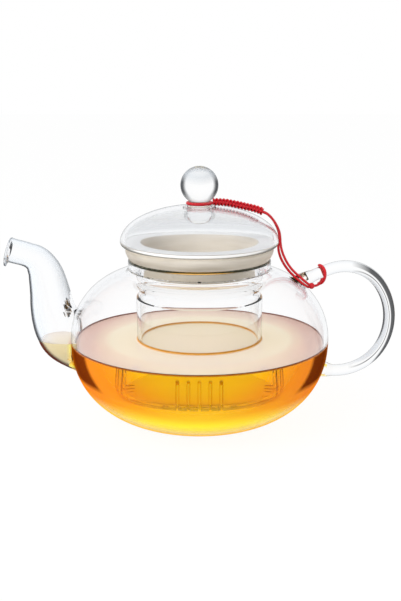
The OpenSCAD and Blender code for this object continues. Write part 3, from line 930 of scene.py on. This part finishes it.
def body_layers(n):
    """Painted shade as grey outlines above the tea; below it painted shade as a dark tea edge where
    the wall stands upright, the tea's amber and yellow towards its outline as painted light and
    shade, and a painted glow low down."""
    away = turned_away(n)
    wet = falling(n, "Z", TEA_Z, TEA_Z + 1)
    return [(SHADE, [ramp(n, away, [(0.88, 0.0), (0.96, 0.4), (1.0, 0.8)]),
                     rising(n, "Z", TEA_Z, TEA_Z + 1)]),
            (TEA_GLOW, [slope(n, "Z", [(0.36, 0.0), (0.64, 0.8)]), outside(n), wet,
                          ramp(n, away, [(0.5, 1.0), (0.78, 0.0)])]),
            (TEA_YELLOW, [ramp(n, away, [(0.74, 0.0), (0.88, 0.85), (1.0, 0.95)]),
                          outside(n), wet]),
            (TEA_AMBER, [ramp(n, away, [(0.25, 0.0), (0.42, 0.6), (0.66, 0.85), (1.0, 0.95)]),
                         slope(n, "Z", [(0.45, 1.0), (0.66, 0.0)]), outside(n), wet]),
            (TEA_SHADE, [ramp(n, away, [(0.55, 0.0), (0.6, 0.92), (0.8, 0.95), (1.0, 0.6)]),
                        slope(n, "Z", [(0.29, 1.0), (0.37, 0.0)]), outside(n), wet])]


def spout_layers(n):
    """A painted bluish reflection above the tea, painted shade in a dark line down the spout's
    outer side, and painted shade in the tea low on that side.
    """
    away = turned_away(n)
    side = facing_to(n, (-0.85, 0, -0.5), [(0.0, 0.3), (0.45, 0.45), (0.7, 1.0)])
    return [(SPOUT_REFLECTION, [ramp(n, away, [(0.06, 0.0), (0.3, 0.3), (0.6, 0.55)]), outside(n),
                          rising(n, "Z", TEA_Z, TEA_Z + 3)]),
            (DARK, [ramp(n, away, [(0.45, 0.0), (0.62, 0.85), (1.0, 1.0)]), side, outside(n)]),
            (TEA_SHADE, [facing_to(n, (-0.8, 0, -0.6), [(0.6, 0.0), (0.85, 0.9), (1.0, 0.7)]),
                        between(n, "Z", 24, TEA_Z - 0.5), outside(n)])]


def rod_layers(n):
    """Painted reflections of the dark room in streaks along the bent rod, widest round its far
    side, over painted shade along its outline.
    """
    far, low = rising(n, "X", 78, 88), falling(n, "Z", 20, 34)
    return [(SHADE, [ramp(n, turned_away(n), [(0.6, 0.0), (0.85, 0.5), (1.0, 0.8)]), outside(n)]),
            (ROD_REFLECTION, [facing_to(n, (-1, 0, 0), [(0.25, 0.0), (0.4, 0.55), (0.9, 0.5)]),
                        far, outside(n)]),
            (DARK, [facing_to(n, (-1, 0, -0.15), [(0.74, 0.0), (0.86, 0.8), (1.0, 0.9)]),
                    far, outside(n)]),
            (DARK, [facing_to(n, (0.87, 0, 0.5), [(0.1, 0.0), (0.2, 0.88), (1.0, 0.92)]),
                    slope(n, "Y", [(0.3, 0.1), (0.5, 1.0)]), far, outside(n)]),
            (DARK, [facing_to(n, (-1, 0, 0),
                              [(0.06, 0.0), (0.1, 0.85), (0.15, 0.85), (0.2, 0.0)]),
                    far, outside(n)]),
            (DARK, [facing_to(n, (0, 0, -1), [(0.9, 0.0), (0.975, 0.85), (1.0, 0.85)]),
                    low, outside(n)])]


# Painted shade in grey and dark along the dome's outline.
def lid_layers(n):
    away = turned_away(n)
    return [(LID_OUTLINE_SHADE, [ramp(n, away, [(0.84, 0.0), (0.94, 0.35), (1.0, 0.5)])]),
            (DARK, [ramp(n, away, [(0.9, 0.0), (0.97, 0.5), (1.0, 0.8)])])]


def lid_inside_layers(n):
    """A painted reflection of the grey room in the dome, thinner towards its crown."""
    return [(LID_REFLECTION, [outside(n), ramp(n, place(n, "Z", FLANGE_TOP, CROWN_Z),
                                         [(0.03, 0.0), (0.14, 0.3), (0.45, 0.36), (0.85, 0.08)])])]


def knob_layers(n):
    """Painted shade in dark crescents at the ball's two sides and along its outline, and a painted
    grey reflection under its top.
    """
    away = turned_away(n)
    return [(DARK, [ramp(n, away, [(0.3, 0.0), (0.45, 0.7), (0.6, 0.97), (0.8, 0.7), (1.0, 0.9)]),
                    slope(n, "X", [(0.4, 0.0), (0.6, 0.8), (0.8, 1.0)]),
                    between(n, "Z", BALL_Z - 6, BALL_Z + 5, 3), outside(n)]),
            (SHADE, [ramp(n, away, [(0.35, 0.0), (0.75, 0.45), (1.0, 0.7)]), outside(n)]),
            (KNOB_REFLECTION, [facing_to(n, (0, -0.35, 1), [(0.4, 0.0), (0.75, 0.5), (0.95, 0.25)]),
                         between(n, "Z", BALL_Z, BALL_Z + 12, 2), outside(n)])]


def slit_lines(n, axis, across):
    """Thin painted shade lines beside the saw cuts along an axis, where the tube faces across it.
    """
    count = n.op("MULTIPLY", along_axis(n, here(n), axis), 1 / (SLIT_PITCH * MM))
    nearest = n.op("PINGPONG", count.outputs[0], 0.5).outputs[0]
    return times(n, ramp(n, nearest, [(0.10, 0.7), (0.13, 0.7), (0.165, 0.0)]),
                 slope(n, across, [(0.7, 0.0), (0.75, 1.0)]),
                 between(n, axis, -10.2, 10.2, 0.2),
                 between(n, "Z", INFUSER_Z + 3, INFUSER_Z + 12.3))


def wet_layers(n):
    """The tube in the tea: amber painted shade along its outline and by the saw cuts, and painted
    light at its corner.
    """
    return [(TUBE_SHADE, [ramp(n, turned_away(n), [(0.84, 0.0), (0.96, 0.75)]),
                          rising(n, "Z", INFUSER_Z + 3, INFUSER_Z + 5)]),
            (SLIT_AMBER, [slit_lines(n, "X", "Y")]),
            (SLIT_AMBER, [slit_lines(n, "Y", "X")]),
            (CORNER_LIGHT, [between(n, "Z", INFUSER_Z + 0.4, INFUSER_Z + 1.8, 0.3),
                           outside(n), 0.6])]


def outline_layer(colour, stops):
    """A matt layer of painted light and shade that follows a ramp from face on to outline."""
    return lambda n: [(colour, [ramp(n, turned_away(n), stops)])]


def noise_at(n, **values):
    noise = n.add("ShaderNodeTexNoise", **values)
    n.put(here(n), noise.inputs["Vector"])
    return noise.outputs["Fac"]


def weld_layers(n):
    """Gold and black spots where glass was fused on."""
    spots = noise_at(n, Scale=260.0, Detail=2.0, Distortion=1.5)
    return [(WELD_GOLD, [ramp(n, spots, [(0.36, 0.0), (0.44, 0.7)])]),
            (DARK, [ramp(n, spots, [(0.46, 0.0), (0.54, 0.92)])])]


def rim_light_and_shade_material():
    """A narrow line under the collar, painted light in gold seen face on and painted shade near
    black along it, with dark specks in the shade.
    """
    n = new_material("rim_line")
    rim_light_and_shade = n.shader(Roughness=0.2, IOR=1.33)
    away = turned_away(n)
    specks = ramp(n, noise_at(n, Scale=700.0, Detail=3.0),
                  [(0.45, (0.012, 0.014, 0.008)), (0.62, (0.16, 0.17, 0.13))])
    shade = ramp(n, away, [(0.0, (0.80, 0.42, 0.06)), (0.07, (0.66, 0.34, 0.05)),
                           (0.13, (0.09, 0.06, 0.02)), (0.2, (0.02, 0.02, 0.01))])
    n.put(blended(n, "MIX", ramp(n, away, [(0.4, 0.0), (0.5, 1.0)]), shade, specks),
          rim_light_and_shade.inputs["Base Color"])
    let_light_through(n, rim_light_and_shade, (0.8, 0.7, 0.5))
    return n.owner


# The tint ramps below darken and cool the glass towards its outline as painted shade of the dark
# room; on the wet tube, saw cuts and waterline ring they turn amber, painted light and shade of the
# tea.
PANE = [(0.0, 1.0), (0.6, (0.985, 0.99, 1))]
TUBE = [(0.0, 1.0), (0.6, (0.97, 0.98, 0.99))]
WET = {"ior": 1.105, "gloss": 1.0}   # glass in tea bends light little
rim_light_and_shade_paint = rim_light_and_shade_material()
POT_GLASS = {
    "body": clear_glass("body_glass", PANE + [(0.85, COOL), (1.0, 0.4)], body_layers, gloss=0.15),
    "spout": clear_glass("spout_glass", [(0.0, (0.99, 0.993, 1)), (0.35, (0.95, 0.97, 0.99)),
                                         (0.7, COOL), (1.0, 0.3)], spout_layers),
    "rod": clear_glass("rod_glass", [(0.0, 1.0), (0.12, (0.97, 0.98, 0.99)), (0.5, COOL),
                                     (1.0, 0.5)], rod_layers),
    "bore": clear_glass("bore_glass", [(0.0, 1.0), (1.0, (0.93, 0.95, 0.97))]),
    # The lip's inner side, dark where seen from outside: painted shade.
    "lip": clear_glass("lip_glass", [(0.0, 1.0), (1.0, 0.7)],
                       lambda n: [(DARK, [outside(n), 0.95])]),
    "weld": clear_glass("weld_glass", [(0.0, 1.0), (1.0, 0.5)], weld_layers),
    "rim_light_and_shade": rim_light_and_shade_paint,
    "wall": clear_glass("wall_glass", PANE + [(1.0, COOL)], gloss=0.15)}
INFUSER_GLASS = {
    "tube": clear_glass("tube_glass", TUBE + [(0.85, 0.72), (1.0, 0.4)],
                        outline_layer(SHADE, [(0.85, 0.0), (1.0, 0.5)])),
    "wet": clear_glass("wet_glass", [(0.0, 1.0), (0.6, (1, 0.97, 0.9)), (0.85, (0.96, 0.78, 0.45)),
                                     (1.0, (0.6, 0.3, 0.08))], wet_layers, **WET),
    "frost": frosted_glass("frosted_collar", (0.82, 0.77, 0.69), (0.58, 0.53, 0.46)),
    # Saw cuts: amber tint and brown outline as painted shade of the tea.
    "cut": clear_glass("saw_cut", [(0.0, 1.0), (0.5, (1, 0.93, 0.8)), (0.8, (0.85, 0.55, 0.25)),
                                   (1.0, (0.5, 0.2, 0.05))],
                       outline_layer(CUT_SHADE, [(0.55, 0.0), (0.8, 0.6), (1.0, 0.9)]), **WET),
    # Waterline ring: amber tint and gold outline as painted light of the tea.
    "ring": clear_glass("wet_ring", [(0.0, (1, 0.8, 0.45)), (0.6, (0.95, 0.6, 0.2)),
                                     (1.0, (0.6, 0.25, 0.04))],
                        outline_layer(RING_GOLD, [(0.0, 0.35), (0.8, 0.7)]), **WET),
    "rim_light_and_shade": rim_light_and_shade_paint,
    "bend": clear_glass("bend_glass", TUBE + [(0.9, 0.8), (1.0, 0.5)], ior=1.08)}
LID_GLASS = {
    "dome": clear_glass("lid_clear", [(0.0, (0.975, 0.98, 0.988)), (0.62, (0.94, 0.95, 0.965)),
                                      (0.86, (0.8, 0.83, 0.87)), (1.0, 0.5)], lid_layers),
    "plug": frosted_glass("frosted_plug", (0.98, 0.95, 0.90), (0.86, 0.82, 0.75), 0.45),
    "flange": frosted_glass("frosted_flange", (0.99, 0.99, 0.99), (0.97, 0.97, 0.97), 0.0),
    "knob": clear_glass("knob_glass", [(0.0, 1.0), (0.15, 0.99), (0.4, (0.9, 0.92, 0.94)),
                                       (1.0, 0.6)], knob_layers),
    # The lid's rim, with a dark line of painted shade along its outline.
    "edge": frosted_glass("lid_edge", (0.97, 0.97, 0.96), (0.93, 0.93, 0.92), 0.0,
                          outline_layer(LID_EDGE_SHADE, [(0.4, 0.0), (0.62, 0.75), (1.0, 0.95)])),
    "inside": clear_glass("lid_inside", [(0.0, (0.985, 0.988, 0.992)), (1.0, (0.9, 0.92, 0.94))],
                          lid_inside_layers)}

spout_middle = [(-BODY_R - p[0], BELLY_Z + p[1])
                for p in (along(SPOUT_ROUTE, i / 100) for i in range(101))]
LIP_START, LIP_END = 96, 99   # hundredths of the spout's length
# Middle and half sizes of each spot where glass was fused on
WELDS = [((-68.6, -4.5, 58.5), (1.9, 3.5, 6.5)), ((-69.5, -6, 28), (2.2, 3.0, 2.2)),
         ((50.8, -2.5, 75), (4.4, 4.2, 3.2)), ((64.3, -1.5, 24.2), (1.3, 2.0, 1.6))]
HANDLE_LOW_X, HANDLE_TOP_X, HANDLE_TOP_Z, SPOUT_X = 66.6, 51, 73, -66.9


def pot_glass_at(c, nrm):
    """Which glass a face of the pot shows, from its middle in millimetres and its normal."""
    for middle, half in WELDS:
        if sum(((a - b) / h) ** 2 for a, b, h in zip(c, middle, half)) < 1:
            return "weld"
    if c.z > RIM_Z - 0.85 and NECK_R - 1.3 < math.hypot(c.x, c.y) < NECK_R + 0.5:
        return "rim_light_and_shade"
    if c.x > HANDLE_LOW_X or (c.x > HANDLE_TOP_X and c.z > HANDLE_TOP_Z):
        return "rod"
    if c.x > SPOUT_X:
        return "body" if c.x * nrm.x + c.y * nrm.y + (c.z - BELLY_Z) * nrm.z > 0 else "wall"
    i = min(range(101), key=lambda k: math.dist((c.x, c.z), spout_middle[k]))
    x, z = spout_middle[i]
    if (c.x - x) * nrm.x + c.y * nrm.y + (c.z - z) * nrm.z >= 0:
        return "spout"
    return "lip" if LIP_START < i < LIP_END and c.y > -1 else "bore"


def in_slit(c, nrm):
    """True on a wall of a saw cut: it lies low and faces along the wall, not out of it."""
    if c.z > INFUSER_Z + 13 or math.hypot(c.x, c.y) < 18:
        return False
    return abs(nrm.y if abs(c.x) > abs(c.y) else nrm.x) > 0.97


def infuser_glass_at(c, nrm):
    if in_slit(c, nrm):
        return "cut"
    if c.z > COLLAR_Z - 0.05:
        return "frost"
    if c.z > RIM_Z - 1 and c.x * nrm.x + c.y * nrm.y > 0:
        return "rim_light_and_shade"
    if c.z > RIM_Z - 2:
        return "frost"
    if c.z > CONE_Z - 0.1 or abs(c.z - GROOVE_Z) < GROOVE_HALF:
        return "bend"
    return "ring" if TEA_Z - 0.8 < c.z < WET_Z else "wet" if c.z < WET_Z else "tube"


def lid_glass_at(c, nrm):
    r = math.hypot(c.x, c.y)
    if c.z > FLANGE_TOP + 0.1:
        inward = c.x * nrm.x + c.y * nrm.y + (c.z - FLANGE_TOP) * nrm.z < 0 and r > BOSS_R + 1
        return "knob" if c.z > CROWN_Z + 0.5 else "inside" if inward else "dome"
    if r > LID_R - LID_WALL + 0.3:
        return "edge"
    return "flange" if r > PLUG_BORE_R + 0.3 and c.z > FLANGE_Z - 0.1 else "plug"


def paint(obj, materials, pick=None):
    """Give each face the material that pick names for it; all get the first where pick is None."""
    names = list(materials)
    obj.data.materials.clear()
    for material in materials.values():
        obj.data.materials.append(material)
    for poly in obj.data.polygons:
        poly.material_index = names.index(pick(poly.center / MM, poly.normal)) if pick else 0


paint(pot, POT_GLASS, pot_glass_at)
paint(infuser, INFUSER_GLASS, infuser_glass_at)
paint(lid, LID_GLASS, lid_glass_at)
paint(tea, {"tea": tea_material()})
red = cord_material()
for piece in bpy.data.objects:
    if piece.name.startswith("cord_") and piece.name not in frame["nodes"]:
        paint(piece, {"red": red})

# ---- Floor, world and light --------------------------------------------------

WHITE, WORLD_LEVEL, FLOOR_GREY, FLOOR_SHARE, KEY_WATTS = (1, 1, 1, 1), 0.92, 0.95, 0.93, 5.5


def lit_white(n, base, white, share):
    """White for what the camera, glass and gloss see, by share; base for the light it gives."""
    path = n.add("ShaderNodeLightPath")
    seen = n.op("MAXIMUM", path.outputs["Is Camera Ray"], path.outputs["Is Glossy Ray"])
    seen = n.op("MAXIMUM", seen.outputs[0], path.outputs["Is Transmission Ray"])
    seen = n.op("MULTIPLY", seen.outputs[0], share)
    n.put(n.mixed(seen.outputs[0], base, white).outputs[0], n.out.inputs["Surface"])


world = bpy.data.worlds.new("studio")
bpy.context.scene.world = world
n = Nodes(world, "ShaderNodeOutputWorld")
lit_white(n, n.add("ShaderNodeBackground", Color=WHITE, Strength=WORLD_LEVEL),
          n.add("ShaderNodeBackground", Color=WHITE, Strength=1.0), 1.0)

floor = new_object("floor", [(-3000, -3000, 0), (3000, -3000, 0), (3000, 3000, 0),
                             (-3000, 3000, 0)], [[0, 1, 2, 3]])
floor.location.z = -0.0001
n = new_material("floor")
lit_white(n, n.add("ShaderNodeBsdfDiffuse", Color=(FLOOR_GREY, FLOOR_GREY, FLOOR_GREY, 1)),
          n.add("ShaderNodeEmission", Strength=1.0), FLOOR_SHARE)
floor.data.materials.append(n.owner)


def area_light(name, place_at, aim, size, power):
    data = bpy.data.lights.new(name, "AREA")
    data.shape = "RECTANGLE"
    data.size, data.size_y = size
    data.energy = power
    light = bpy.data.objects.new(name, data)
    bpy.context.scene.collection.objects.link(light)
    light.location = place_at
    light.rotation_euler = (Vector(aim) - Vector(place_at)).to_track_quat("-Z", "Y").to_euler()
    light.visible_glossy = False
    light.visible_transmission = False


area_light("key", (-0.5, -0.5, 0.75), (0, 0, 0.06), (0.5, 0.5), KEY_WATTS)

scene = bpy.context.scene
scene.view_settings.view_transform = "Standard"
scene.cycles.max_bounces = 24
scene.cycles.transmission_bounces = 24
scene.cycles.glossy_bounces = 12
scene.cycles.transparent_max_bounces = 24
scene.cycles.diffuse_bounces = 4
